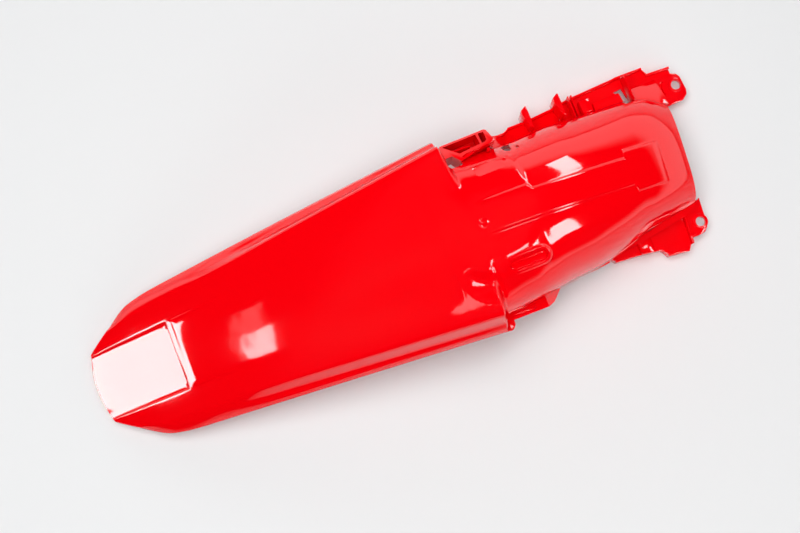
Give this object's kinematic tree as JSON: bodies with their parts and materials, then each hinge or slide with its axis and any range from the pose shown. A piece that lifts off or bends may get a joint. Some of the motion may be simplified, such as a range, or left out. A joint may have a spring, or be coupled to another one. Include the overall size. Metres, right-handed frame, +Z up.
{
  "type": "motorcycle rear fender",
  "caption": "One-piece moulded rear fender for an off-road motorcycle: long tail panel with a recessed tip, arched front over the wheel, side flanges and two bolt ears.",
  "frame": {"origin": "on the surface it lies on, at the middle of its length and width", "axes": "+X towards the front of the motorcycle, +Y to the rider's left, +Z up as it lies at rest"},
  "size_m": [0.7398, 0.228, 0.1256],
  "materials": {
    "red_plastic": "smooth gloss, as moulded"
  },
  "bodies": {
    "root": {"fender": "red_plastic"}
  },
  "joints": []
}
